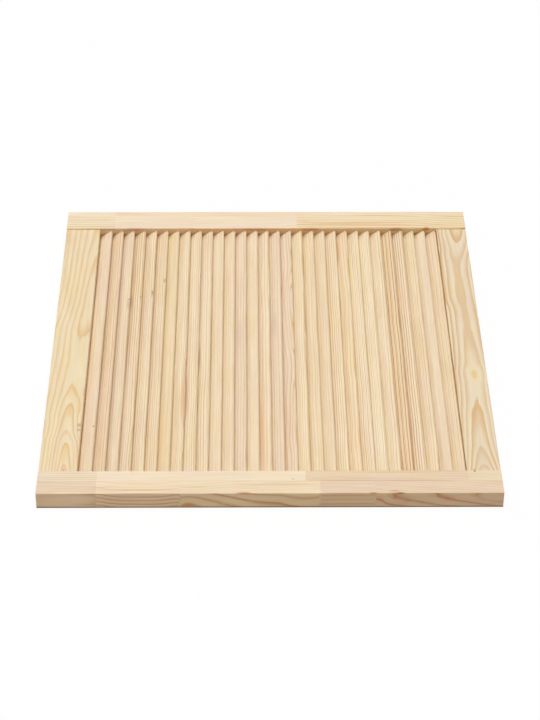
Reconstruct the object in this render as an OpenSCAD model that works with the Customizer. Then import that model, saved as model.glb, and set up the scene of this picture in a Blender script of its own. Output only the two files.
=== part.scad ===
// Louvred cabinet door in solid pine: two stiles, two rails and a row of tilted slats.
// It lies on its back. X runs down the door's height, from the top rail at -X to the
// bottom rail at +X. Y runs across its width and Z points out of its front.
// The origin is the middle of the back, in the plane of the stiles' back faces.

/* [Door] */
// Height of the door, along X
door_height = 540; // [460:1:700]
// Width of the door, along Y
door_width = 594; // [300:1:800]

/* [Stiles] */
// Width of each stile's face
stile_width = 41; // [36:0.5:60]
// Thickness of each stile, which is the door's own
stile_thickness = 22; // [20:0.5:28]
// Radius of the eased long edges of a stile
stile_easing = 1; // [0.3:0.1:2]
// Radius of the eased edges at a stile's sawn ends
stile_end_easing = 0.5; // [0.2:0.1:1]

/* [Rails] */
// Width of the top rail's face
top_rail_width = 45; // [36:0.5:70]
// Width of the bottom rail's face
bottom_rail_width = 39.5; // [36:0.5:70]
// Thickness of each rail, set back alike from the stiles' front and back
rail_thickness = 18; // [16:0.5:20]
// Radius of the eased long edges of a rail
rail_easing = 0.7; // [0.2:0.1:2]

/* [Louvres] */
// Number of slats
slat_count = 30; // [20:1:32]
// Width of a slat, from rounded edge to rounded edge
slat_width = 19; // [17:0.5:22]
// Thickness of a slat, and the diameter of its rounded edges
slat_thickness = 5; // [4:0.25:6]
// Angle of a slat to the door's face, with its lower edge at the front
slat_tilt = 34; // [30:1:42]
// Length of a slat's end that is housed in the stile
slat_housing = 8; // [5:0.5:12]
// Gap between the top rail and the first slat's back edge
first_gap = 0.5; // [0.2:0.1:3]
// Gap between the last slat's front edge and the bottom rail
last_gap = 0.5; // [0.2:0.1:3]

/* [Dowels] */
// Diameter of a corner dowel
dowel_diameter = 8; // [6:1:10]
// Length of a corner dowel, half of it in the stile and half in the rail
dowel_length = 40; // [30:2:50]
// Distance from a rail's long edge to the nearest dowel's axis
dowel_edge = 11; // [8:0.5:13]
// Chamfer at a dowel's ends
dowel_chamfer = 1; // [0.5:0.25:2]
// Number of glue flutes along a dowel
flute_count = 12; // [8:1:16]
// Depth of a glue flute
flute_depth = 0.4; // [0.2:0.1:0.6]

/* [Fits] */
// Clearance all round a slat's end in its mortise
mortise_clearance = 0.15; // [0.05:0.05:0.3]
// Clearance beyond a slat's end at the bottom of its mortise
mortise_end_clearance = 0.5; // [0.2:0.1:1]
// Clearance all round a dowel in its hole
dowel_clearance = 0.05; // [0.02:0.01:0.15]
// Clearance beyond each end of a dowel, for surplus glue
dowel_end_clearance = 1; // [0.5:0.25:2]

/* [Hidden] */
$fn = 64;
// Length by which a cut runs past the face that it opens
overcut = 1;

// Places of the frame's inner edges
inner_y = door_width / 2 - stile_width;
top_edge_x = -door_height / 2 + top_rail_width;
bottom_edge_x = door_height / 2 - bottom_rail_width;
mid_z = stile_thickness / 2;

// A slat's reach along X, from its back edge to its front edge
slat_reach = (slat_width - slat_thickness) * cos(slat_tilt) + slat_thickness;
slat_opening = bottom_edge_x - top_edge_x;
slat_pitch = (slat_opening - first_gap - last_gap - slat_reach) / (slat_count - 1);
first_slat_x = top_edge_x + first_gap + slat_reach / 2;
slat_length = 2 * (inner_y + slat_housing);
mortise_depth = slat_housing + mortise_end_clearance;

rail_length = 2 * inner_y;
dowel_hole_depth = dowel_length / 2 + dowel_end_clearance;
// Four dowel axes along X: outer and inner at the top rail, then at the bottom rail
dowel_x = [
    [-door_height / 2 + dowel_edge, top_edge_x - dowel_edge],
    [door_height / 2 - dowel_edge, bottom_edge_x + dowel_edge]
];

// Tones of bare pine
cream_pine = [0.93, 0.84, 0.68];
yellow_pine = [0.92, 0.82, 0.62];
pink_pine = [0.92, 0.80, 0.67];
grey_pine = [0.88, 0.80, 0.68];
slat_tones = [cream_pine, pink_pine, yellow_pine, grey_pine, cream_pine];
beech = [0.80, 0.66, 0.50];

function slat_name(i) = str("slat_", i < 10 ? "0" : "", i);
function slat_x(i) = first_slat_x + (i - 1) * slat_pitch;

rail_names = ["top", "bottom"];
side_names = ["left", "right"];
place_names = ["outer", "inner"];
function dowel_name(r, s, p) = str("dowel_", rail_names[r], "_", side_names[s], "_", place_names[p]);

// Rectangle with quarter-round corners, centred
module eased_rectangle(size, radius) {
    square([size.x - 2 * radius, size.y], center = true);
    square([size.x, size.y - 2 * radius], center = true);
    for (sx = [-1, 1], sy = [-1, 1])
        translate([sx * (size.x / 2 - radius), sy * (size.y / 2 - radius)])
            circle(r = radius);
}

// Slat section: flat faces and fully rounded edges, tilted as it stands in the door
module slat_section(clearance = 0) {
    half_span = (slat_width - slat_thickness) / 2;
    rotate(slat_tilt) {
        square([2 * half_span, slat_thickness + 2 * clearance], center = true);
        for (side = [-1, 1])
            translate([side * half_span, 0])
                circle(d = slat_thickness + 2 * clearance);
    }
}

// Carries a section drawn in X and Z along Y, centred on y
module along_y(length, y = 0) {
    translate([0, y, 0])
        rotate([90, 0, 0])
            linear_extrude(length, center = true)
                children();
}

// Carries a section drawn in Y and Z along X, centred
module along_x(length) {
    rotate([90, 0, 90])
        linear_extrude(length, center = true)
            children();
}

// Oblique blind mortises in the inner face of a stile, one for each slat
module slat_mortises(side) {
    cut = mortise_depth + overcut;
    for (i = [1 : slat_count])
        translate([slat_x(i), 0, mid_z])
            along_y(cut, side * (inner_y + mortise_depth - cut / 2))
                slat_section(mortise_clearance);
}

// Dowel holes on one side of the door, through the joint between stile and rail
module dowel_holes(side) {
    for (pair = dowel_x, x = pair)
        translate([x, side * inner_y, mid_z])
            rotate([90, 0, 0])
                cylinder(d = dowel_diameter + 2 * dowel_clearance,
                         h = 2 * dowel_hole_depth, center = true);
}

// Upright side member, left at -1 and right at 1
module stile(side) {
    difference() {
        translate([0, side * (door_width - stile_width) / 2, mid_z])
            intersection() {
                along_x(door_height)
                    eased_rectangle([stile_width, stile_thickness], stile_easing);
                along_y(stile_width)
                    eased_rectangle([door_height, stile_thickness], stile_end_easing);
            }
        slat_mortises(side);
        dowel_holes(side);
    }
}

module left_stile() {
    color(cream_pine)
        stile(-1);
}

module right_stile() {
    color(cream_pine)
        stile(1);
}

// Cross member between the stiles, centred on x
module rail(x, width) {
    difference() {
        translate([x, 0, mid_z])
            along_y(rail_length)
                eased_rectangle([width, rail_thickness], rail_easing);
        dowel_holes(-1);
        dowel_holes(1);
    }
}

module top_rail() {
    color(yellow_pine)
        rail(top_edge_x - top_rail_width / 2, top_rail_width);
}

module bottom_rail() {
    color(cream_pine)
        rail(bottom_edge_x + bottom_rail_width / 2, bottom_rail_width);
}

// Louvre slat number i, counted from the top rail
module slat(i) {
    color(slat_tones[i % len(slat_tones)])
        translate([slat_x(i), 0, mid_z])
            along_y(slat_length)
                slat_section();
}

// Fluted dowel across the joint at the given end, side and place
module dowel(r, s, p) {
    radius = dowel_diameter / 2;
    half = dowel_length / 2;
    color(beech)
        translate([dowel_x[r][p], side_names[s] == "left" ? -inner_y : inner_y, mid_z])
            rotate([90, 0, 0])
                difference() {
                    rotate_extrude()
                        polygon([
                            [0, -half],
                            [radius - dowel_chamfer, -half],
                            [radius, dowel_chamfer - half],
                            [radius, half - dowel_chamfer],
                            [radius - dowel_chamfer, half],
                            [0, half]
                        ]);
                    for (k = [0 : flute_count - 1])
                        rotate(k * 360 / flute_count)
                            translate([radius, 0, 0])
                                cylinder(r = flute_depth, h = dowel_length + 2 * overcut, center = true);
                }
}

left_stile();
right_stile();
top_rail();
bottom_rail();
for (i = [1 : slat_count])
    slat(i);
for (r = [0, 1], s = [0, 1], p = [0, 1])
    dowel(r, s, p);
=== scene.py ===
# Louvred pine door lying on its back: finishes, slats, floor, light and camera.
# +X runs from the top rail to the bottom rail, +Y from the left stile to the right one, +Z out of
# the front.
import math

import bpy
import numpy as np
from mathutils import Matrix, Vector


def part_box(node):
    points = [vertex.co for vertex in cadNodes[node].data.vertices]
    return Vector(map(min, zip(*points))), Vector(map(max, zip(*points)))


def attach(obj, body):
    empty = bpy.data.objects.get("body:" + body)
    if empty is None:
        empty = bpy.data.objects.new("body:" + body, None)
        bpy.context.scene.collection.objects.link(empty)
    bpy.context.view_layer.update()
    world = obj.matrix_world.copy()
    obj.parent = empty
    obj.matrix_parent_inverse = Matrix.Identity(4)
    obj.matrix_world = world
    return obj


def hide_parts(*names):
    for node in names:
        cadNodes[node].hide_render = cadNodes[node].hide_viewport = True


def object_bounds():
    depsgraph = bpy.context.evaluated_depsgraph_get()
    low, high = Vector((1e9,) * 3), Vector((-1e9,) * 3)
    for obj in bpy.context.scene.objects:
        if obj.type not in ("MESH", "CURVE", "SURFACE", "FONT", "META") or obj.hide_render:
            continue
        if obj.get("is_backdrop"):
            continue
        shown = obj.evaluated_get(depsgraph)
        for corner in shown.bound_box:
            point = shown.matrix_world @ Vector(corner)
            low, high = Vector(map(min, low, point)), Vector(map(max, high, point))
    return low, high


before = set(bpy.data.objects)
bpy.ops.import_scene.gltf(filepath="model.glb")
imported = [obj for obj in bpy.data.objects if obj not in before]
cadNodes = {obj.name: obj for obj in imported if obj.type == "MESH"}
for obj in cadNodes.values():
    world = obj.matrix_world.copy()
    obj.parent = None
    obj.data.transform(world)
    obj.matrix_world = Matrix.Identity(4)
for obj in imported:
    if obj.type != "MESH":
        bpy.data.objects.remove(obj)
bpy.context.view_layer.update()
print("frame loaded:", len(cadNodes), "nodes")

mm = 0.001
toMm = 1 / mm


# Small tools

def srgb(red, green, blue):
    # Screen levels from 0 to 255, as the linear colour that a socket takes
    levels = np.array([red, green, blue]) / 255
    linear = np.where(levels <= 0.04045, levels / 12.92, ((levels + 0.055) / 1.055) ** 2.4)
    return (*linear.tolist(), 1.0)


def plug(tree, value, socket):
    # A socket's input: the output of another node, or a plain value
    if isinstance(value, bpy.types.NodeSocket):
        tree.links.new(value, socket)
    else:
        socket.default_value = value


def calc(tree, operation, *values, clamp=False):
    node = tree.nodes.new("ShaderNodeMath")
    node.operation = operation
    node.use_clamp = clamp
    for value, socket in zip(values, node.inputs):
        plug(tree, value, socket)
    return node.outputs[0]


def blendColour(tree, share, first, second, how="MIX"):
    node = tree.nodes.new("ShaderNodeMix")
    node.data_type = "RGBA"
    node.blend_type = how
    plug(tree, share, node.inputs["Factor"])
    plug(tree, first, node.inputs[6])
    plug(tree, second, node.inputs[7])
    return node.outputs[2]


def rescale(tree, value, fromLow, fromHigh, toLow, toHigh, smooth=False):
    node = tree.nodes.new("ShaderNodeMapRange")
    node.interpolation_type = "SMOOTHSTEP" if smooth else "LINEAR"
    for socket, number in zip(node.inputs, (value, fromLow, fromHigh, toLow, toHigh)):
        plug(tree, number, socket)
    return node.outputs[0]


def ramp(tree, value, stops, how="LINEAR"):
    # stops: (position, colour or grey level)
    node = tree.nodes.new("ShaderNodeValToRGB")
    node.color_ramp.interpolation = how
    points = node.color_ramp.elements
    while len(points) < len(stops):
        points.new(1.0)
    for point, (position, colour) in zip(points, stops):
        point.position = position
        point.color = colour if isinstance(colour, tuple) else (colour, colour, colour, 1.0)
    plug(tree, value, node.inputs[0])
    return node.outputs[0]


def vector(tree, x, y, z):
    node = tree.nodes.new("ShaderNodeCombineXYZ")
    for value, socket in zip((x, y, z), node.inputs):
        plug(tree, value, socket)
    return node.outputs[0]


def noise(tree, place, detail=2.0, roughness=0.5, output="Fac"):
    node = tree.nodes.new("ShaderNodeTexNoise")
    node.inputs["Scale"].default_value = 1.0
    node.inputs["Detail"].default_value = detail
    node.inputs["Roughness"].default_value = roughness
    plug(tree, place, node.inputs["Vector"])
    return node.outputs[output]


def noiseLine(tree, place):
    # Noise along one line
    node = tree.nodes.new("ShaderNodeTexNoise")
    node.noise_dimensions = "1D"
    node.inputs["Scale"].default_value = 1.0
    node.inputs["Detail"].default_value = 1.0
    plug(tree, place, node.inputs["W"])
    return node.outputs["Fac"]


def curve(tree, value, points):
    # A smooth curve through (value, result) points
    places = [place for place, result in points]
    results = [result for place, result in points]
    start, stop, low, high = min(places), max(places), min(results), max(results)
    node = tree.nodes.new("ShaderNodeFloatCurve")
    line = node.mapping.curves[0]
    while len(line.points) < len(points):
        line.points.new(0.5, 0.5)
    for point, (place, result) in zip(line.points, sorted(points)):
        point.location = ((place - start) / (stop - start), (result - low) / (high - low))
        point.handle_type = "AUTO_CLAMPED"
    node.mapping.update()
    plug(tree, rescale(tree, value, start, stop, 0.0, 1.0), node.inputs["Value"])
    return rescale(tree, node.outputs[0], 0.0, 1.0, low, high)


def parts(tree, place):
    node = tree.nodes.new("ShaderNodeSeparateXYZ")
    plug(tree, place, node.inputs[0])
    return node.outputs


def stretched(tree, place, turnsAcross, turnsAlong, seed=0.0):
    # A place for noise that is drawn out along the grain: its turns in a mm, each way
    across, along, depth = parts(tree, place)
    return vector(tree, calc(tree, "MULTIPLY", across, turnsAcross),
                  calc(tree, "MULTIPLY_ADD", along, turnsAlong, seed),
                  calc(tree, "MULTIPLY", depth, turnsAcross))


def swing(tree, value, most, middle=0.0):
    # Noise from 0 to 1, as a swing about the middle by up to most on each side
    return calc(tree, "MULTIPLY_ADD", calc(tree, "SUBTRACT", value, 0.5), 2 * most, middle)


def vectorCalc(tree, operation, *values):
    node = tree.nodes.new("ShaderNodeVectorMath")
    node.operation = operation
    for value, socket in zip(values, node.inputs):
        plug(tree, value, socket)
    return node.outputs["Value" if operation == "LENGTH" else "Vector"]


spotCore = 0.25                 # share of a spot's reach that has its full colour


def spot(tree, place, centre, size):
    # 1 in the middle of an ellipsoid, fading to 0 at its skin
    share = vectorCalc(tree, "DIVIDE", vectorCalc(tree, "SUBTRACT", place, centre), size)
    reach = vectorCalc(tree, "LENGTH", share)
    return rescale(tree, reach, spotCore, 1.0, 1.0, 0.0, smooth=True)


# Pine, as a node group that every board shares

pine = {
    "wobble": 0.16,             # ring widths, unsteadiness of a single ring
    "wobbleTurns": (0.16, 0.03),    # turns of its noise in a mm, across the grain and along it
    # Darkness of the wood from a ring's start to its end
    "season": [(0.0, 0.30), (0.05, 0.0), (0.42, 0.08), (0.62, 0.45), (0.85, 1.0), (0.96, 0.95),
               (1.0, 0.40)],
    "faintestRing": 0.45,       # least strength of a ring's dark line
    "ringSeed": 17.3,           # how far the rings' strengths move on with a board's seed
    "fibreTurns": (0.55, 0.02),     # the same for the fibres, the patches and the canals
    "fibreRoughness": 0.65,
    "fibreTone": 0.11,          # share of light and dark that fine fibres bring
    "patchTurns": (0.12, 0.012),
    "patchTone": 0.10,          # share that broad soft patches bring
    "patchWarmth": 0.16,        # share of yellower and greyer wood in other patches
    "patchPink": 0.05,          # share of pinker and greener wood
    "toneRed": 0.7,             # how much of the tone reaches red, and blue: dark wood is warmer
    "toneBlue": 1.25,
    "canalTurns": (1.9, 0.16),
    "canalLevels": (0.70, 0.78),    # of its noise, where a resin canal begins and where it is full
    "canalShare": 0.22,         # how much of its own colour a canal has
    "canalColour": srgb(150, 104, 66),
    "lineRelief": 0.6,          # shares of the rings' lines and of the fibres in the relief
    "fibreRelief": 0.4,
}


def ringLine(tree, given):
    # The whole part of the ring number counts the rings. The rest of it is the season: its power
    # gives how narrow the late wood is, which darkens slowly and then breaks off.
    shaky = noise(tree, stretched(tree, given["Place"], *pine["wobbleTurns"], given["Seed"]), detail=3.0)
    turn = swing(tree, shaky, pine["wobble"], given["Ring Number"])
    season = calc(tree, "POWER", calc(tree, "FRACT", turn), given["Late Power"])
    lateWood = ramp(tree, season, pine["season"])
    white = tree.nodes.new("ShaderNodeTexWhiteNoise")
    white.noise_dimensions = "1D"
    ringPlace = calc(tree, "MULTIPLY_ADD", given["Seed"], pine["ringSeed"], calc(tree, "FLOOR", turn))
    plug(tree, ringPlace, white.inputs["W"])
    strength = rescale(tree, white.outputs["Value"], 0.0, 1.0, pine["faintestRing"], 1.0)
    dark = calc(tree, "MULTIPLY", lateWood, strength)
    return calc(tree, "MULTIPLY", dark, given["Contrast"], clamp=True)


def woodTint(tree, given, fibre):
    # Fibres and broad soft patches make the wood lighter and darker, and other patches of the
    # same noise turn it yellower or greyer, and pinker or greener
    patches = noise(tree, stretched(tree, given["Place"], *pine["patchTurns"], given["Seed"]),
                    output="Color")
    warm, pink, light = parts(tree, patches)
    tone = calc(tree, "ADD", swing(tree, fibre, pine["fibreTone"]),
                swing(tree, light, pine["patchTone"]))
    warmth = swing(tree, warm, pine["patchWarmth"])
    pinkness = swing(tree, pink, pine["patchPink"])
    return vector(tree, calc(tree, "MULTIPLY_ADD", tone, pine["toneRed"], 1.0),
                  calc(tree, "ADD", calc(tree, "ADD", tone, pinkness), 1.0),
                  calc(tree, "ADD", calc(tree, "MULTIPLY_ADD", tone, pine["toneBlue"], warmth), 1.0))


def makePineGroup():
    # Early wood with the rings' dark lines, short resin canals and the tint over both
    tree = bpy.data.node_groups.new("pineGrain", "ShaderNodeTree")
    for name, kind in (("Place", "Vector"), ("Ring Number", "Float"), ("Late Power", "Float"),
                       ("Contrast", "Float"), ("Seed", "Float"), ("Early Wood", "Color"),
                       ("Late Wood", "Color")):
        tree.interface.new_socket(name, in_out="INPUT", socket_type="NodeSocket" + kind)
    tree.interface.new_socket("Colour", in_out="OUTPUT", socket_type="NodeSocketColor")
    tree.interface.new_socket("Relief", in_out="OUTPUT", socket_type="NodeSocketFloat")
    given = tree.nodes.new("NodeGroupInput").outputs
    place, seed = given["Place"], given["Seed"]
    line = ringLine(tree, given)
    fibre = noise(tree, stretched(tree, place, *pine["fibreTurns"], seed), detail=4.0,
                  roughness=pine["fibreRoughness"])
    canal = noise(tree, stretched(tree, place, *pine["canalTurns"], seed), detail=1.0)
    canal = rescale(tree, canal, *pine["canalLevels"], 0.0, pine["canalShare"], smooth=True)
    colour = blendColour(tree, line, given["Early Wood"], given["Late Wood"])
    colour = blendColour(tree, canal, colour, pine["canalColour"])
    colour = blendColour(tree, 1.0, colour, woodTint(tree, given, fibre), "MULTIPLY")
    relief = calc(tree, "ADD", calc(tree, "MULTIPLY", line, pine["lineRelief"]),
                  calc(tree, "MULTIPLY", fibre, pine["fibreRelief"]))
    out = tree.nodes.new("NodeGroupOutput")
    plug(tree, colour, out.inputs["Colour"])
    plug(tree, relief, out.inputs["Relief"])
    return tree


def ringRadius(tree, across, depth, pithAcross, pithDepth):
    # Distance from the pith, square to the grain: growth rings are cylinders round it
    side = calc(tree, "SUBTRACT", across, pithAcross)
    rise = calc(tree, "SUBTRACT", depth, pithDepth)
    return calc(tree, "SQRT", calc(tree, "ADD", calc(tree, "MULTIPLY", side, side),
                                   calc(tree, "MULTIPLY", rise, rise)))


pineGroup = makePineGroup()

# Tones of the light wood and of the dark lines
earlyTones = {
    "cream": srgb(243, 225, 194),
    "peach": srgb(241, 221, 188),
    "pale": srgb(244, 226, 196),
    "blush": srgb(242, 222, 193),
    "pink": srgb(241, 219, 189),
    "grey": srgb(237, 218, 191),
    "dusky": srgb(232, 208, 179),
    "straw": srgb(238, 221, 186),
    "honey": srgb(238, 219, 182),
    "silver": srgb(234, 217, 187),
    "lime": srgb(234, 214, 181),
}
lateTones = {
    "orange": srgb(222, 168, 104),
    "amber": srgb(223, 174, 107),
    "fawn": srgb(213, 170, 113),
    "olive": srgb(208, 182, 132),
    "brown": srgb(206, 152, 108),
    "umber": srgb(206, 160, 110),
    "red": srgb(200, 134, 90),
    "ember": srgb(186, 118, 66),
    "tan": srgb(211, 168, 115),
    "faint": srgb(225, 190, 143),
}


def boardPlace(tree, centre, turn=(0.0, 0.0, 0.0)):
    # Object coordinates turned and centred on a board, in mm: across, along the grain, up through it
    where = tree.nodes.new("ShaderNodeTexCoord")
    mapping = tree.nodes.new("ShaderNodeMapping")
    mapping.vector_type = "TEXTURE"
    mapping.inputs["Location"].default_value = centre
    mapping.inputs["Rotation"].default_value = turn
    mapping.inputs["Scale"].default_value = (mm, mm, mm)
    plug(tree, where.outputs["Object"], mapping.inputs["Vector"])
    return mapping.outputs[0]


def newMaterial(name):
    material = bpy.data.materials.new(name)
    material.use_nodes = True
    material.node_tree.nodes.clear()
    return material, material.node_tree


def grainNode(tree, place, board):
    node = tree.nodes.new("ShaderNodeGroup")
    node.node_tree = pineGroup
    plug(tree, place, node.inputs["Place"])
    for name, value in board.items():
        plug(tree, value, node.inputs[name])
    return node.outputs["Colour"], node.outputs["Relief"]


woodFinish = {
    "roughLow": 0.52,           # on late wood, which sanding polishes
    "roughHigh": 0.68,          # on early wood
    "roughRelief": (0.1, 0.8),  # relief of early wood and of late wood
    "shine": 0.32,              # specular level of bare sanded pine
    "relief": 0.00006,          # metres, height of the grain under the hand
    "bump": 0.5,                # strength of that relief
}


def woodSurface(tree, colour, relief):
    shader = tree.nodes.new("ShaderNodeBsdfPrincipled")
    shader.inputs["Specular IOR Level"].default_value = woodFinish["shine"]
    plug(tree, colour, shader.inputs["Base Color"])
    rough = rescale(tree, relief, *woodFinish["roughRelief"], woodFinish["roughHigh"],
                    woodFinish["roughLow"])
    plug(tree, rough, shader.inputs["Roughness"])
    bump = tree.nodes.new("ShaderNodeBump")
    bump.inputs["Strength"].default_value = woodFinish["bump"]
    bump.inputs["Distance"].default_value = woodFinish["relief"]
    plug(tree, relief, bump.inputs["Height"])
    plug(tree, bump.outputs[0], shader.inputs["Normal"])
    out = tree.nodes.new("ShaderNodeOutputMaterial")
    plug(tree, shader.outputs[0], out.inputs["Surface"])


def frontFacing(tree):
    # 1 on a board's front and back, 0 on its sides
    normal = tree.nodes.new("ShaderNodeTexCoord").outputs["Normal"]
    return calc(tree, "ABSOLUTE", parts(tree, normal)[2])


def spotted(tree, place, colour, spots):
    # Knots, resin and soft patches: centre and size (across, along, depth), colour, strength
    for centre, size, tone, strength in spots:
        knot = calc(tree, "MULTIPLY", spot(tree, place, centre, size), strength)
        colour = blendColour(tree, knot, colour, tone)
    return colour


def dress(node, material):
    for slot in cadNodes[node].material_slots:
        slot.material = material


# Stiles: two strips glued side by side, each finger-jointed from shorter blocks

stile = {
    "finger": 1.5,              # mm, depth of the fingers that show
    "fingerPitch": 7.4,         # mm, from finger to finger
    "blockSeed": 0.13,          # how far the noise moves on from block to block
    "stripSeed": 5.0,           # and from the inner strip to the outer one
    "seam": 0.35,               # mm, half the width of the glue line between the strips
    "seamShare": 0.25,
    "seamColour": srgb(190, 144, 100),
    # warmer, darker tint of the side faces: partly their own edge-grain tone, partly painted warmth of
    # the shade that falls on them
    "sideTint": srgb(255, 243, 226),
    "sideFacing": (0.5, 0.9),   # how far a face looks up, where the side ends and the front begins
    "corner": srgb(206, 184, 162),      # painted shade: darker tint of the inner face low between the slats, where the deep corners lie in shade
    "cornerDepth": (8.0, -1.0),         # mm, where that tint begins and where it is full
    "paintedFootShade": srgb(122, 92, 66),          # painted shade: the lower arris, darkened where it turns down to the floor
    "footShare": 0.85,
    "footDepth": (-9.6, -8.2),          # mm, where that painted shade is full and where it ends
    "footFacing": (0.8, 1.0),           # the painted shade fades as the face turns flat
}

# Blocks of a strip: start along the stile, early and late tones, pith (across, depth), ring width,
# late power, contrast. Under each strip, the way its pith moves across as the stile runs on.
stiles = {
    "left_stile": {
        "seed": 1.7,
        "line": -2.0,           # mm, the glue line's place across the stile
        "sideGain": 2.6,        # how much stronger the grain stands on its narrow faces
        "inner": [(-270, "grey", "tan", (-70, 20), 3.6, 2.0, 0.60),
                  (-201, "blush", "faint", (-80, -40), 4.2, 2.0, 0.20),
                  (41, "dusky", "orange", (-60, -60), 2.6, 1.5, 0.60),
                  (48, "dusky", "orange", (-83.6, 14), 4.6, 2.2, 0.40),
                  (231, "lime", "faint", (-60, 50), 4.0, 2.0, 0.28)],
        "innerMove": [(-270, 0.0), (-220, 1.2), (-140, 0.3), (-60, 1.0), (41, 0.0), (48, 0.6),
                      (110, 0.0), (170, 0.3), (231, 0.9), (270, 0.0)],
        "outer": [(-270, "dusky", "umber", (-4.5, 2.5), 3.6, 2.0, 0.48),
                  (-201, "pink", "brown", (-46.1, 70.7), 3.9, 1.6, 0.28),
                  (-104, "peach", "umber", (-59.3, -28.0), 3.95, 2.0, 0.30),
                  (58, "dusky", "umber", (-43.5, -53.0), 4.2, 2.0, 0.20),
                  (121, "dusky", "brown", (0.0, 8.7), 4.2, 2.2, 0.38)],
        "outerMove": [(-270, -0.8), (-255, 0.0), (-240, 0.6), (-202, 1.3),
                      (-200, -4.5), (-190, -2.6), (-180, -1.3), (-160, 0.0), (-140, -0.1), (-120, -1.2),
                      (-105, -2.8), (-103, -0.2), (-95, 0.0), (-85, -0.4), (-75, -1.2), (-65, -2.3),
                      (-55, -3.4), (-45, -4.4), (-35, -5.3), (-25, -6.1), (-15, -6.9), (-5, -7.3),
                      (10, -7.6), (20, -8.3), (30, -8.9), (40, -9.2), (57, -8.8), (59, 0.0), (120, 0.4),
                      (122, -11.9), (134, -9.9), (143, -8.8), (160, -7.6), (181, -5.5), (190, -4.7),
                      (198, -3.9), (213, -2.9), (232, -1.1), (254, 1.8), (270, 3.5)],
    },
    "right_stile": {
        "seed": 8.2,
        "line": -10.5,
        "sideGain": 0.8,
        "inner": [(-270, "cream", "olive", (90, 20), 5.4, 1.6, 1.25),
                  (-206, "blush", "faint", (80, -50), 4.6, 2.0, 0.15),
                  (-104, "blush", "faint", (84, -46), 5.0, 2.0, 0.30),
                  (41, "straw", "amber", (-87.5, -6), 5.3, 1.5, 1.20)],
        "innerMove": [(-270, 0.6), (-206, 0.0), (-150, 0.8), (-104, 0.0), (-30, 0.8), (41, 0.0),
                      (150, 0.2), (200, 2.0), (215, 4.0), (228, 6.0), (250, 7.5), (270, 8.5)],
        "outer": [(-270, "pale", "faint", (60, 40), 4.0, 2.0, 0.30),
                  (-206, "pink", "orange", (70, -14), 4.4, 1.6, 0.40),
                  (52, "cream", "amber", (76, -10), 4.6, 1.7, 0.75)],
        "outerMove": [(-270, 0.0), (-206, 1.0), (-120, 0.0), (-60, 1.4), (52, 0.0), (160, 2.4),
                      (270, 5.0)],
    },
}

# Resin, knots, soft patches, single strong lines and a painted highlight in the stiles: centre and size
# (across, along, depth), colour, strength
stileSpots = {
    "left_stile": [((20.5, -236, 1.0), (6, 54, 16), srgb(250, 228, 202), 0.85),
                   ((20.5, -94, -6.0), (5, 11, 4.5), srgb(214, 152, 96), 0.75),
                   ((20.5, -30, 11.5), (3.5, 14, 3.0), srgb(196, 120, 62), 0.80),
                   ((20.5, 119, 11.0), (2.5, 7, 3.0), srgb(200, 130, 78), 0.70),
                   ((20.5, 90, 11.0), (1.6, 36, 2.6), srgb(206, 150, 100), 0.50),
                   ((20.5, 150, 11.0), (1.9, 8, 2.2), srgb(158, 84, 50), 0.85),
                   ((20.5, 144, 4.8), (2, 4, 5.5), srgb(200, 124, 96), 0.40),
                   ((20.5, 158, -0.5), (2, 7, 3.0), srgb(196, 128, 96), 0.30),
                   ((20.5, 254, 4.0), (5, 22, 10), srgb(230, 206, 178), 0.75),
                   ((17.0, 144, 11.0), (4, 9, 2), srgb(196, 156, 118), 0.50),
                   ((-2.0, 85, 11.0), (1.1, 60, 4), srgb(206, 142, 100), 0.60),
                   ((-2.0, 165, 11.0), (1.1, 70, 4), srgb(206, 146, 108), 0.55),
                   ((14.0, -152, 11.0), (1.8, 60, 4), srgb(220, 166, 112), 0.70),
                   ((9.5, -198, 11.0), (1.2, 14, 4), srgb(224, 176, 128), 0.60),
                   ((5.4, 0, 11.0), (1.1, 75, 4), srgb(214, 178, 112), 0.70),
                   ((9.0, -88, 11.0), (1.1, 26, 4), srgb(214, 182, 120), 0.60),
                   ((2.6, 20, 11.0), (0.9, 60, 4), srgb(220, 188, 128), 0.45),
                   ((-16.0, -232, 11.0), (2.4, 34, 4), srgb(234, 200, 172), 0.50),
                   ((-17.0, 150, 11.0), (1.0, 90, 4), srgb(214, 160, 112), 0.50),
                   ((-5.0, 27, 11.0), (2.0, 2.8, 2), srgb(186, 168, 140), 0.50),
                   ((-18.0, 239, 11.0), (1.4, 2.2, 2), srgb(96, 80, 56), 0.75)],
    "right_stile": [((20.5, 20, 8.0), (1.6, 260, 6.0), srgb(236, 188, 146), 0.40),
                    ((20.5, -178, 9.0), (3, 22, 4.0), srgb(196, 124, 80), 0.40),
                    ((20.5, -15, 9.0), (2.6, 30, 4.0), srgb(196, 122, 76), 0.40),
                    ((20.5, 60, 9.0), (2.6, 18, 4.0), srgb(190, 110, 66), 0.50),
                    ((20.5, 176, 9.0), (2.6, 14, 4.5), srgb(176, 100, 60), 0.55),
                    ((20.0, 217, 10.0), (4, 6, 4.0), srgb(178, 108, 62), 0.65),
                    ((8.0, 122, 11.0), (1.5, 92, 4), srgb(218, 162, 100), 0.75),
                    ((14.0, 146, 11.0), (1.6, 118, 4), srgb(222, 170, 118), 0.70),
                    # painted highlight: the light line along the inner arris
                    ((16.4, 146, 11.0), (1.3, 118, 4), srgb(251, 233, 198), 0.75),
                    ((18.9, 146, 11.0), (1.5, 118, 4), srgb(214, 168, 122), 0.65),
                    ((-4.0, 140, 11.0), (6.0, 120, 4), srgb(244, 225, 193), 0.60),
                    ((2.0, 50, 11.0), (1.0, 12, 4), srgb(220, 172, 112), 0.60),
                    ((-11.0, 150, 11.0), (1.0, 36, 4), srgb(212, 176, 122), 0.60)],
}


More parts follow.
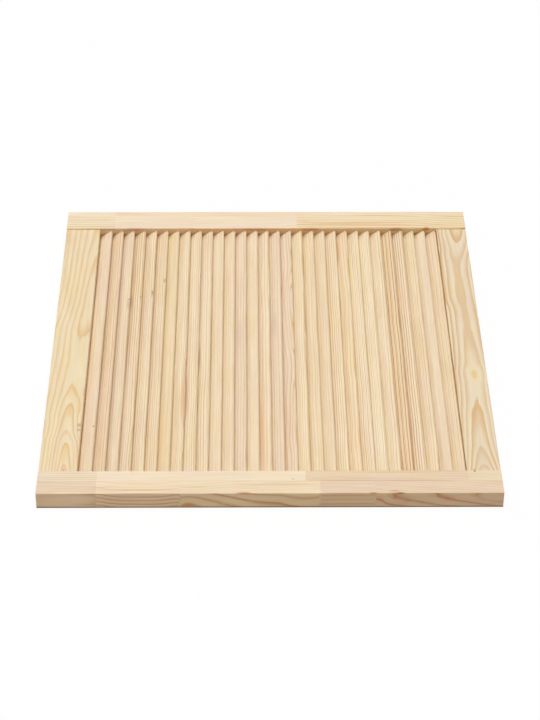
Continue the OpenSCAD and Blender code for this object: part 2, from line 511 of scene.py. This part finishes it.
def strip(tree, place, jointed, half, blocks, move, seed):
    # One strip's grain. Constant ramps along it give each block its tones, pith and ring width.
    most = 100.0                # the greatest number, of mm or otherwise, that such a ramp can give
    across, along, depth = parts(tree, place)
    spotAlong = rescale(tree, jointed, -half, half, 0.0, 1.0)
    starts, earlyNames, lateNames, piths, ringWidths, latePowers, contrasts = zip(*blocks)
    pithsAcross, pithsDepth = zip(*piths)
    stops = [(start + half) / (2 * half) for start in starts]

    def stepped(values):
        return ramp(tree, spotAlong, list(zip(stops, values)), "CONSTANT")

    def steppedNumber(values):
        grey = stepped([(value + most) / (2 * most) for value in values])
        return rescale(tree, grey, 0.0, 1.0, -most, most)

    pithAcross = calc(tree, "ADD", steppedNumber(pithsAcross), curve(tree, along, move))
    radius = ringRadius(tree, across, depth, pithAcross, steppedNumber(pithsDepth))
    blockSeeds = [k * stile["blockSeed"] for k in range(len(blocks))]
    return {
        "Ring Number": calc(tree, "DIVIDE", radius, steppedNumber(ringWidths)),
        "Late Power": steppedNumber(latePowers),
        "Contrast": stepped(contrasts),
        "Seed": calc(tree, "ADD", stepped(blockSeeds), seed),
        "Early Wood": stepped([earlyTones[tone] for tone in earlyNames]),
        "Late Wood": stepped([lateTones[tone] for tone in lateNames]),
    }


def stilePine(name):
    look = stiles[name]
    low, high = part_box(name)
    half = (high.x - low.x) / 2 * toMm
    material, tree = newMaterial(name + "_pine")
    place = boardPlace(tree, (low + high) / 2, (0.0, 0.0, math.radians(-90)))
    across, along, depth = parts(tree, place)
    outward = -1.0 if name == "right_stile" else 1.0
    facing = frontFacing(tree)
    side = rescale(tree, facing, *stile["sideFacing"], 1.0, 0.0, smooth=True)

    # Fingers show as a zigzag on the stile's sides and as a straight line on its faces
    zigzag = calc(tree, "PINGPONG", depth, stile["fingerPitch"] / 2)
    jointed = calc(tree, "MULTIPLY_ADD", zigzag, stile["finger"] / (stile["fingerPitch"] / 2), along)
    jointed = calc(tree, "SUBTRACT", jointed, stile["finger"] / 2)
    strips = [strip(tree, place, jointed, half, look[kind], look[kind + "Move"], look["seed"] + shift)
              for kind, shift in (("inner", 0.0), ("outer", stile["stripSeed"]))]
    beyond = calc(tree, "MULTIPLY", calc(tree, "SUBTRACT", across, look["line"]), outward)
    isOuter = calc(tree, "GREATER_THAN", beyond, 0.0)
    board = {}
    for key in strips[0]:
        if key.endswith("Wood"):
            board[key] = blendColour(tree, isOuter, strips[0][key], strips[1][key])
        else:
            board[key] = rescale(tree, isOuter, 0.0, 1.0, strips[0][key], strips[1][key])
    stronger = calc(tree, "MULTIPLY_ADD", side, look["sideGain"], 1.0)
    board["Contrast"] = calc(tree, "MULTIPLY", board["Contrast"], stronger)
    colour, relief = grainNode(tree, place, board)

    # Glue line, spots, warmer sides (partly painted warmth of shade), painted shade in the deep inner
    # corners and painted shade on the foot
    seam = rescale(tree, calc(tree, "ABSOLUTE", beyond), 0.0, stile["seam"], stile["seamShare"], 0.0,
                   smooth=True)
    colour = blendColour(tree, seam, colour, stile["seamColour"])
    colour = spotted(tree, place, colour, stileSpots[name])
    colour = blendColour(tree, side, colour, stile["sideTint"], "MULTIPLY")
    # painted shade: the inner face darkens low down, in the corners between the slats
    inward = calc(tree, "MULTIPLY", side, calc(tree, "LESS_THAN", beyond, 0.0))
    deep = rescale(tree, depth, *stile["cornerDepth"], 0.0, 1.0, smooth=True)
    colour = blendColour(tree, calc(tree, "MULTIPLY", inward, deep), colour, stile["corner"], "MULTIPLY")
    # painted shade along the lower arris, where it turns down to the floor
    upright = rescale(tree, facing, *stile["footFacing"], stile["footShare"], 0.0)
    footing = calc(tree, "MULTIPLY", upright,
                   rescale(tree, depth, *stile["footDepth"], 1.0, 0.0, smooth=True))
    woodSurface(tree, blendColour(tree, footing, colour, stile["paintedFootShade"]), relief)
    return material


for name in stiles:
    dress(name, stilePine(name))
print("stiles finished")


# Rails: plain-sawn boards, whose arched grain comes from a pith that rises and sinks below the face

# Along each rail, in mm: the pith's place across and below the face, and the radius at which each
# ring ends. On the lower side of the pith the rings stand farther apart: distances there count by
# this share. Knots and soft patches: centre and size (across, along, depth), colour, strength.
rails = {
    "top_rail": {
        "seed": 5.9,
        "tones": ("honey", "amber"),
        "contrast": 0.74,
        "pithAcross": [(256, 21.5), (160, 21.8), (100, 19.8), (60, 16.0), (20, 11.0), (-40, 8.5),
                       (-87, 6.5), (-125, 6.3), (-178, 5.0), (-201, 6.0), (-256, 6.5)],
        "pithBelow": [(256, 21.0), (160, 16.9), (100, 15.6), (60, 16.1), (20, 17.3), (8, 17.9),
                      (-15, 18.6), (-40, 18.8), (-65, 18.5), (-87, 18.0), (-125, 14.8), (-178, 11.4),
                      (-201, 8.0), (-240, 4.7), (-256, 2.5)],
        "rings": [1.2, 4.6, 8.0, 11.4, 14.8, 18.0, 21.8, 26.7, 32.3, 38.0, 43.7],
        "latePower": 1.3,
        "lowerSide": [(256, 0.5), (0, 0.5), (-60, 0.45), (-90, 0.6), (-110, 0.85), (-125, 0.8),
                      (-150, 1.0), (-180, 1.1), (-200, 0.9), (-256, 0.85)],
        "spots": [((20.0, -168, 9.0), (3.6, 5.5, 2.0), srgb(176, 148, 112), 0.60),
                  ((20.0, -177, 9.0), (3.4, 4.5, 2.0), srgb(180, 152, 116), 0.55),
                  ((6.5, -252, 9.0), (2.5, 4.0, 2.0), srgb(206, 150, 112), 0.60),
                  ((6.0, -108, 9.0), (4.5, 20, 3.0), srgb(237, 208, 149), 0.45),
                  ((6.5, -142, 9.0), (4.0, 16, 3.0), srgb(230, 196, 142), 0.55),
                  ((17.0, -130, 9.0), (3.5, 34, 3.0), srgb(232, 198, 136), 0.55),
                  ((6.0, -221, 9.0), (5.0, 24, 3.0), srgb(236, 206, 140), 0.60)],
    },
    "bottom_rail": {
        "seed": 6.1,
        "tones": ("silver", "fawn"),
        "contrast": 1.0,
        "pithAcross": [(256, 6.9), (218, 5.6), (172, 1.2), (150, 0.8), (100, 1.3), (60, 3.8), (0, 4.2),
                       (-57, 4.0), (-115, 2.6), (-160, 1.2), (-204, 0.4), (-256, 0.9)],
        "pithBelow": [(256, 15.0), (240, 16.1), (218, 17.9), (195, 19.6), (172, 20.9), (150, 21.1),
                      (100, 20.6), (60, 21.2), (20, 20.9), (0, 20.5), (-20, 19.8), (-45, 19.0),
                      (-57, 17.9), (-69, 17.2), (-81, 17.7), (-98, 17.85), (-115, 17.7), (-150, 16.2),
                      (-204, 14.2), (-211, 13.7), (-242, 9.7), (-256, 6.0)],
        "rings": [1.7, 5.7, 9.7, 13.7, 17.7, 21.7, 25.7, 29.7, 33.7, 37.7, 41.7],
        "latePower": 0.75,
        "lowerSide": [(256, 1.0), (0, 0.99), (-256, 1.0)],
        "spots": [((0.5, -236, 9.0), (13, 44, 4.0), srgb(224, 206, 174), 0.62),
                  ((4.1, -68, 9.0), (9, 26, 4.0), srgb(238, 214, 160), 0.60),
                  ((-2.0, 6, 9.0), (2.4, 36, 3.0), srgb(222, 184, 134), 0.50),
                  ((-11.3, -254, 9.0), (1.8, 2.2, 2.0), srgb(92, 76, 62), 0.85)],
    },
}


def railPine(name):
    look = rails[name]
    low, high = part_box(name)
    face = (high.z - low.z) / 2 * toMm
    material, tree = newMaterial(name + "_pine")
    place = boardPlace(tree, (low + high) / 2)
    across, along, depth = parts(tree, place)
    pithDepth = calc(tree, "SUBTRACT", face, curve(tree, along, look["pithBelow"]))
    beside = calc(tree, "SUBTRACT", across, curve(tree, along, look["pithAcross"]))
    lower = calc(tree, "MULTIPLY", beside, curve(tree, along, look["lowerSide"]))
    radius = ringRadius(tree, calc(tree, "MINIMUM", beside, lower), depth, 0.0, pithDepth)
    early, late = look["tones"]
    board = {
        "Ring Number": curve(tree, radius, [(end, k) for k, end in enumerate(look["rings"])]),
        "Late Power": look["latePower"],
        "Contrast": look["contrast"],
        "Seed": look["seed"],
        "Early Wood": earlyTones[early],
        "Late Wood": lateTones[late],
    }
    colour, relief = grainNode(tree, place, board)
    woodSurface(tree, spotted(tree, place, colour, look["spots"]), relief)
    return material


for name in rails:
    dress(name, railPine(name))
print("rails finished")


# Slats: new surfaces over the CAD ones, each its own piece of timber

slats = {
    "width": 19.0,
    "thickness": 5.0,
    "tilt": 34.0,
    "housing": 8.0,             # mm of each end that is hidden in the stile
    "arcPoints": 12,            # on each rounded edge
    "flatPoints": 6,            # on each flat face
    "stations": 44,             # along the slat
    "bow": 0.18,                # mm, the most that a slat bends up or down between the stiles
    "sway": 0.09,               # mm, and to the side
    "cup": 0.05,                # mm, hollow of a slat's face
    "twist": 0.25,              # degrees
    "firstSeed": 500,           # of a slat's random draws, one more for each slat
    "seedRange": 90.0,          # how far those draws may move its noise
    "pith": 90.0,               # mm, from a slat's middle to its pith
    "waveLength": 140.0,        # mm, along a slat, of the slow waves in its grain
    "rings": 24,
    "ringWidths": (0.5, 1.6),   # least and most, as shares of the slat's own ring width
    "latePowers": (1.1, 1.8),
    # Tints from the back edge to the front edge: painted shade warms and darkens the rounded back edge
    # deep in the gap, painted shade darkens the band behind the next slat, and the rounded front edge is
    # darkened a little
    "edgeTintAndShade": [(0.0, srgb(255, 255, 249)), (0.18, 1.0), (0.28, 1.0), (0.35, srgb(250, 250, 247)),
             (0.41, srgb(250, 250, 247)), (0.49, 1.0), (0.82, 1.0), (0.97, srgb(251, 247, 241))],
    "corner": srgb(224, 208, 191),      # painted shade: darker tint of a face low in the corner with a stile, where the stile shades it
    "cornerReach": 14.0,                # mm, along the slat from the stile
    "cornerAcross": (-5.0, 3.0),        # mm, where that tint is full and where it ends
}

# Tones of the slats' light wood
slatTones = {
    "rose": srgb(242, 223, 196),
    "yellow": srgb(243, 222, 183),
    "wheat": srgb(244, 224, 191),
    "peach": srgb(243, 220, 189),
    "sand": srgb(246, 227, 193),
    "cream": srgb(248, 231, 199),
    "light": srgb(251, 236, 205),
}

# Each slat from the top rail down: tone, dark tone, contrast, ring width in mm, angle of the rings
# to its face in degrees, wander of the pith in mm
slatBoards = [
    ("rose", "faint", 0.45, 2.8, 70, 1.5), ("peach", "tan", 1.00, 2.6, 80, 1.5),
    ("rose", "faint", 0.85, 2.8, 65, 2.0), ("sand", "tan", 1.25, 2.6, 80, 2.0),
    ("cream", "tan", 1.22, 2.4, 85, 1.0), ("wheat", "tan", 1.15, 2.6, 75, 1.5),
    ("yellow", "faint", 0.25, 3.2, 60, 1.5), ("cream", "tan", 1.05, 2.7, 78, 3.0),
    ("cream", "tan", 0.80, 2.8, 72, 2.5), ("cream", "tan", 1.15, 2.6, 80, 2.5),
    ("wheat", "faint", 0.55, 3.2, 70, 1.5), ("wheat", "faint", 0.65, 3.0, 65, 1.5),
    ("rose", "tan", 0.70, 3.0, 75, 1.0), ("wheat", "faint", 0.25, 3.4, 65, 1.5),
    ("cream", "red", 0.75, 2.8, 80, 2.0), ("rose", "faint", 1.03, 3.2, 70, 1.5),
    ("rose", "orange", 1.20, 4.2, 60, 6.0), ("cream", "faint", 0.96, 2.6, 75, 1.0),
    ("sand", "faint", 1.10, 2.8, 75, 1.5), ("wheat", "tan", 0.50, 3.0, 72, 1.5),
    ("cream", "faint", 1.30, 3.0, 70, 2.0), ("sand", "orange", 0.80, 3.0, 70, 2.6),
    ("light", "tan", 1.10, 2.4, 82, 1.5), ("light", "tan", 0.98, 2.6, 75, 1.5),
    ("cream", "tan", 0.90, 2.6, 80, 1.5), ("yellow", "ember", 1.15, 3.0, 85, 0.8),
    ("cream", "ember", 1.15, 3.8, 85, 0.8), ("sand", "tan", 0.85, 2.6, 80, 1.5),
    ("rose", "faint", 0.45, 3.0, 70, 1.5), ("wheat", "tan", 0.60, 2.5, 82, 1.0),
]


def wholeFace(along, reach, colour, strength):
    # A soft patch over a slat's whole width, centred at a place along it
    return ((0.0, along, 2.5), (9.0, reach, 4), colour, strength)


def paintedBackShade(strength):
    # Painted shade: a darker line all along, where the face runs in under the next slat
    return ((-2.9, 0, 2.5), (1.4, 500, 3), srgb(190, 140, 100), strength)


# Knots, darker figure, soft patches and painted shade lines of single slats: centre and size (across,
# along, depth), colour, strength
slatSpots = {
    1: [((8.0, -167, 2.0), (1.6, 3, 2), srgb(150, 112, 76), 0.60)],
    2: [paintedBackShade(0.24)],
    3: [paintedBackShade(0.34),
        ((8.6, 85, 1.5), (2.0, 16, 3), srgb(190, 150, 106), 0.40),
        ((8.8, 97, 1.5), (1.4, 3, 2), srgb(152, 112, 72), 0.50)],
    4: [paintedBackShade(0.34),
        wholeFace(-140, 190, srgb(247, 230, 206), 0.48),
        ((8.8, 102, 1.5), (1.4, 4, 2), srgb(158, 116, 74), 0.40),
        ((-5.0, 100, 2.5), (3.0, 26, 3), srgb(190, 136, 92), 0.45)],
    5: [((8.6, 110, 1.5), (2.0, 14, 3), srgb(186, 140, 92), 0.45),
        ((8.8, 112, 1.5), (1.4, 4, 2), srgb(140, 100, 62), 0.50)],
    6: [((8.6, 139, 1.5), (1.8, 7, 2), srgb(158, 122, 82), 0.55)],
    7: [wholeFace(-200, 90, srgb(240, 208, 158), 0.40)],
    8: [((8.0, -110, 2.0), (4.0, 66, 3), srgb(220, 168, 126), 0.55),
        wholeFace(112, 90, srgb(252, 228, 203), 0.35)],
    9: [((-4.5, -105, 2.5), (3.5, 58, 3), srgb(204, 158, 120), 0.50),
        wholeFace(160, 120, srgb(249, 232, 206), 0.35)],
    10: [((-5.0, -22, 2.5), (2.6, 46, 3), srgb(184, 130, 90), 0.60),
         wholeFace(60, 190, srgb(248, 233, 210), 0.40)],
    11: [wholeFace(190, 90, srgb(250, 234, 208), 0.35)],
    13: [((1.0, 25, 2.5), (5.0, 45, 3), srgb(226, 202, 182), 0.60),
         wholeFace(190, 80, srgb(255, 235, 205), 0.35)],
    15: [((-3.0, -170, 2.5), (5.0, 90, 3), srgb(222, 172, 134), 0.45),
         wholeFace(-190, 130, srgb(240, 204, 164), 0.38)],
    16: [((0.0, 45, 2.5), (6.0, 40, 3), srgb(222, 200, 184), 0.60)],
    17: [((-3.5, 130, 2.5), (2.4, 60, 3), srgb(222, 172, 132), 0.42),
         wholeFace(90, 260, srgb(246, 228, 208), 0.42)],
    22: [((-5.0, 215, 2.5), (2.8, 44, 3), srgb(206, 148, 98), 0.50)],
    23: [wholeFace(75, 150, srgb(252, 236, 208), 0.38)],
    27: [wholeFace(112, 70, srgb(240, 206, 163), 0.35)],
    29: [((-2.0, -205, 2.5), (3.5, 50, 3), srgb(212, 172, 122), 0.50),
         wholeFace(-195, 90, srgb(233, 208, 174), 0.35)],
}


def slatSection():
    # A flat strip with half-round edges: arcs of angle at each edge, straight runs between them
    radius = slats["thickness"] / 2
    span = slats["width"] / 2 - radius
    angle = np.linspace(-math.pi / 2, math.pi / 2, slats["arcPoints"])
    run = np.linspace(span, -span, slats["flatPoints"] + 2)[1:-1]
    across = np.concatenate([span + radius * np.cos(angle), run, -span - radius * np.cos(angle), -run])
    depth = np.concatenate([radius * np.sin(angle), np.full(run.size, radius),
                            -radius * np.sin(angle), np.full(run.size, -radius)])
    return across, depth


def slatMesh(name, centre, length, chance):
    # The section carried along the slat. Between the stiles it bows, twists and cups by a raised
    # cosine of the place along it, so that both ends sit true in their mortises.
    across, depth = slatSection()
    along = np.linspace(-0.5, 0.5, slats["stations"])[:, None] * length
    free = length - 2 * slats["housing"]
    rise = 0.5 + 0.5 * np.cos(2 * math.pi * np.clip(along / free, -0.5, 0.5))
    sway, bow, twist, cup = chance.uniform(-1, 1, 4)
    half = slats["width"] / 2
    hollow = slats["cup"] * cup * (across / half) ** 2
    sectionAcross = across + slats["sway"] * sway * rise
    sectionDepth = depth + slats["bow"] * bow * rise + hollow * rise
    lean = math.radians(slats["tilt"]) + math.radians(slats["twist"] * twist) * rise
    x = centre.x * toMm + sectionAcross * np.cos(lean) - sectionDepth * np.sin(lean)
    z = centre.z * toMm + sectionAcross * np.sin(lean) + sectionDepth * np.cos(lean)
    y = np.broadcast_to(along + centre.y * toMm, x.shape)
    places = np.stack([x, y, z], axis=-1).reshape(-1, 3) * mm
    ring = across.size
    row = np.arange(slats["stations"] - 1)[:, None] * ring
    point = np.arange(ring)
    after = (point + 1) % ring
    quads = np.stack([row + point, row + ring + point, row + ring + after, row + after], axis=-1)
    last = (slats["stations"] - 1) * ring
    caps = [list(range(ring)), list(range(last + ring - 1, last - 1, -1))]
    mesh = bpy.data.meshes.new(name)
    mesh.from_pydata(places.tolist(), [], quads.reshape(-1, 4).tolist() + caps)
    smooth = np.ones(len(mesh.polygons), bool)
    smooth[-len(caps):] = False
    mesh.polygons.foreach_set("use_smooth", smooth)
    mesh.update()
    return mesh


def slatPine(name, centre, length, timber, spots, chance):
    early, late, contrast, ringWidth, ringAngle, wander = timber
    lean = math.radians(ringAngle)
    material, tree = newMaterial(name + "_pine")
    place = boardPlace(tree, centre, (0.0, -math.radians(slats["tilt"]), 0.0))
    across, along, depth = parts(tree, place)

    # Slow waves carry the pith, far to one side, nearer and farther
    waveSeed = chance.uniform(0, slats["seedRange"])
    wave = noiseLine(tree, calc(tree, "MULTIPLY_ADD", along, 1 / slats["waveLength"], waveSeed))
    whichSide = float(chance.choice([-1, 1]))
    pithAcross = swing(tree, wave, wander, whichSide * slats["pith"] * math.sin(lean))
    radius = ringRadius(tree, across, depth, pithAcross, -slats["pith"] * math.cos(lean))
    widths = ringWidth * chance.uniform(*slats["ringWidths"], slats["rings"])
    ends = slats["pith"] - slats["width"] + np.cumsum(widths)
    board = {
        "Ring Number": curve(tree, radius, [(end, k) for k, end in enumerate(ends.tolist())]),
        "Late Power": chance.uniform(*slats["latePowers"]),
        "Contrast": contrast,
        "Seed": chance.uniform(0, slats["seedRange"]),
        "Early Wood": slatTones[early],
        "Late Wood": lateTones[late],
    }
    colour, relief = grainNode(tree, place, board)

    # Tints across the slat: painted shade on its back edge and in the band behind the next slat, a
    # slight darkening of its front edge, and painted shade in the corners beside the stiles
    half = slats["width"] / 2
    tintAndShade = ramp(tree, rescale(tree, across, -half, half, 0.0, 1.0), slats["edgeTintAndShade"])
    colour = blendColour(tree, 1.0, colour, tintAndShade, "MULTIPLY")
    # painted shade in the corners beside the stiles
    free = length / 2 - slats["housing"]
    nearStile = rescale(tree, calc(tree, "ABSOLUTE", along), free - slats["cornerReach"], free,
                        0.0, 1.0, smooth=True)
    behind = rescale(tree, across, *slats["cornerAcross"], 1.0, 0.0, smooth=True)
    cornerShadeShare = calc(tree, "MULTIPLY", nearStile, behind)
    colour = blendColour(tree, cornerShadeShare, colour, slats["corner"], "MULTIPLY")
    woodSurface(tree, spotted(tree, place, colour, spots), relief)
    return material


slatNodes = sorted(name for name in cadNodes if name.startswith("slat_"))
for i, node in enumerate(slatNodes, start=1):
    chance = np.random.default_rng(slats["firstSeed"] + i)
    low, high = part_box(node)
    centre = (low + high) / 2
    length = (high.y - low.y) * toMm
    mesh = slatMesh(f"louvre_{i:02d}", centre, length, chance)
    louvre = bpy.data.objects.new(mesh.name, mesh)
    bpy.context.scene.collection.objects.link(louvre)
    material = slatPine(mesh.name, centre, length, slatBoards[i - 1], slatSpots.get(i, []), chance)
    mesh.materials.append(material)
    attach(louvre, "root")
    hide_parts(node)
print("slats made:", len(slatNodes))


# Dowels: beech, hidden in the joints

beech = {
    "wood": srgb(222, 186, 148),
    "fleck": srgb(196, 152, 112),
    "fleckTurns": (2.0, 0.5),   # of the flecks' noise in a mm, across the grain and along it
    "fleckLevels": (0.45, 0.62),        # of that noise, where a fleck begins and where it is full
}


def dowelBeech():
    material, tree = newMaterial("dowel_beech_wood")
    place = boardPlace(tree, (0.0, 0.0, 0.0))
    flecks = noise(tree, stretched(tree, place, *beech["fleckTurns"]), detail=3.0)
    flecks = rescale(tree, flecks, *beech["fleckLevels"], 0.0, 1.0, smooth=True)
    woodSurface(tree, blendColour(tree, flecks, beech["wood"], beech["fleck"]), flecks)
    return material


dowelMaterial = dowelBeech()
dowelNodes = [name for name in cadNodes if name.startswith("dowel_")]
for name in dowelNodes:
    dress(name, dowelMaterial)
print("dowels finished:", len(dowelNodes))


# Floor, world, light and camera

stage = {
    "floorSize": 14.0,          # metres
    "floorWhite": 0.96,         # colour of the floor to the camera, which keeps the shadow
    "floorGlow": 0.90,          # share of plain white that the camera sees there
    "floorBounce": 0.62,        # colour of the floor as it lights the door
    "skyLight": 0.13,           # even light from all round
}

# Soft lamps: strength, softness in degrees, height above the floor and turn from +X towards +Y
lamps = {
    "overhead": (2.38, 55.0, 90.0, 0.0),
    "behindLeft": (0.36, 50.0, 32.0, 145.0),
    "near": (0.28, 50.0, 30.0, 265.0),
}


def seenByEye(tree):
    # 1 for rays from the camera and for mirrored ones
    rays = tree.nodes.new("ShaderNodeLightPath")
    seen = calc(tree, "MAXIMUM", rays.outputs["Is Camera Ray"], rays.outputs["Is Glossy Ray"])
    return calc(tree, "MAXIMUM", seen, rays.outputs["Is Transmission Ray"])


def blendShader(tree, share, first, second):
    node = tree.nodes.new("ShaderNodeMixShader")
    plug(tree, share, node.inputs[0])
    plug(tree, first, node.inputs[1])
    plug(tree, second, node.inputs[2])
    return node.outputs[0]


def diffuse(tree, level):
    node = tree.nodes.new("ShaderNodeBsdfDiffuse")
    node.inputs["Color"].default_value = (level, level, level, 1.0)
    return node.outputs[0]


def makeFloor():
    # Nearly plain white with the door's shadow to the camera, and a pale grey to the door
    material, tree = newMaterial("floor_white")
    glow = tree.nodes.new("ShaderNodeEmission")
    glow.inputs["Strength"].default_value = 1.0
    toCamera = blendShader(tree, stage["floorGlow"], diffuse(tree, stage["floorWhite"]), glow.outputs[0])
    toDoor = diffuse(tree, stage["floorBounce"])
    out = tree.nodes.new("ShaderNodeOutputMaterial")
    plug(tree, blendShader(tree, seenByEye(tree), toDoor, toCamera), out.inputs["Surface"])
    half = stage["floorSize"] / 2
    corners = [(-half, -half, 0.0), (half, -half, 0.0), (half, half, 0.0), (-half, half, 0.0)]
    mesh = bpy.data.meshes.new("floor")
    mesh.from_pydata(corners, [], [(0, 1, 2, 3)])
    mesh.materials.append(material)
    floor = bpy.data.objects.new("floor", mesh)
    bpy.context.scene.collection.objects.link(floor)
    floor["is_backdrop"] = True


def background(tree, strength):
    node = tree.nodes.new("ShaderNodeBackground")
    node.inputs["Strength"].default_value = strength
    node.inputs["Color"].default_value = (1.0, 1.0, 1.0, 1.0)
    return node.outputs[0]


def makeWorld():
    # White to the camera, and a faint sky to the door
    world = bpy.data.worlds.new("studio")
    world.use_nodes = True
    tree = world.node_tree
    tree.nodes.clear()
    sky = background(tree, stage["skyLight"])
    white = background(tree, 1.0)
    out = tree.nodes.new("ShaderNodeOutputWorld")
    plug(tree, blendShader(tree, seenByEye(tree), sky, white), out.inputs["Surface"])
    bpy.context.scene.world = world


def makeLamp(name):
    strength, softness, height, turn = lamps[name]
    lamp = bpy.data.lights.new(name, "SUN")
    lamp.energy = strength
    lamp.angle = math.radians(softness)
    holder = bpy.data.objects.new(name, lamp)
    rise, around = math.radians(height), math.radians(turn)
    level = math.cos(rise)
    towards = Vector((level * math.cos(around), level * math.sin(around), math.sin(rise)))
    holder.rotation_mode = "QUATERNION"
    holder.rotation_quaternion = towards.to_track_quat("Z", "Y")
    bpy.context.scene.collection.objects.link(holder)


# Camera, solved from the door's corners in the photograph, whose frame is 540 by 720
view = {
    "frameHeight": 720,         # pixels, the frame's longer side, which the sensor's width spans
    "focalPixels": 2173.63,
    "sensorWidth": 36.0,        # mm
    "pitch": 36.8784,           # degrees below level
    "yaw": 0.74805,
    "roll": 0.34617,
    "place": (-0.026038, -2.206310, 1.646332),
    "clip": (0.05, 50.0),       # metres, the nearest and the farthest that it sees
}


def makeCamera():
    pitch, yaw, roll = (math.radians(view[k]) for k in ("pitch", "yaw", "roll"))
    forward = Vector((0.0, math.cos(pitch), -math.sin(pitch)))
    down = Vector((0.0, -math.sin(pitch), -math.cos(pitch)))
    right = Vector((1.0, 0.0, 0.0))
    rolledRight = math.cos(roll) * right - math.sin(roll) * down
    rolledDown = math.sin(roll) * right + math.cos(roll) * down
    turn = Matrix.Rotation(-yaw, 3, "Z")
    columns = [turn @ rolledRight, -(turn @ rolledDown), -(turn @ forward)]
    camera = bpy.data.cameras.new("camera")
    camera.sensor_width = view["sensorWidth"]
    camera.lens = view["focalPixels"] * camera.sensor_width / view["frameHeight"]
    camera.clip_start, camera.clip_end = view["clip"]
    holder = bpy.data.objects.new("camera", camera)
    placed = Matrix(columns).transposed().to_4x4()
    placed.translation = view["place"]
    holder.matrix_world = placed
    bpy.context.scene.collection.objects.link(holder)
    bpy.context.scene.camera = holder


makeFloor()
makeWorld()
for name in lamps:
    makeLamp(name)
makeCamera()
bpy.context.scene.view_settings.view_transform = "Standard"
print("stage, light and camera set")

low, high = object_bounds()
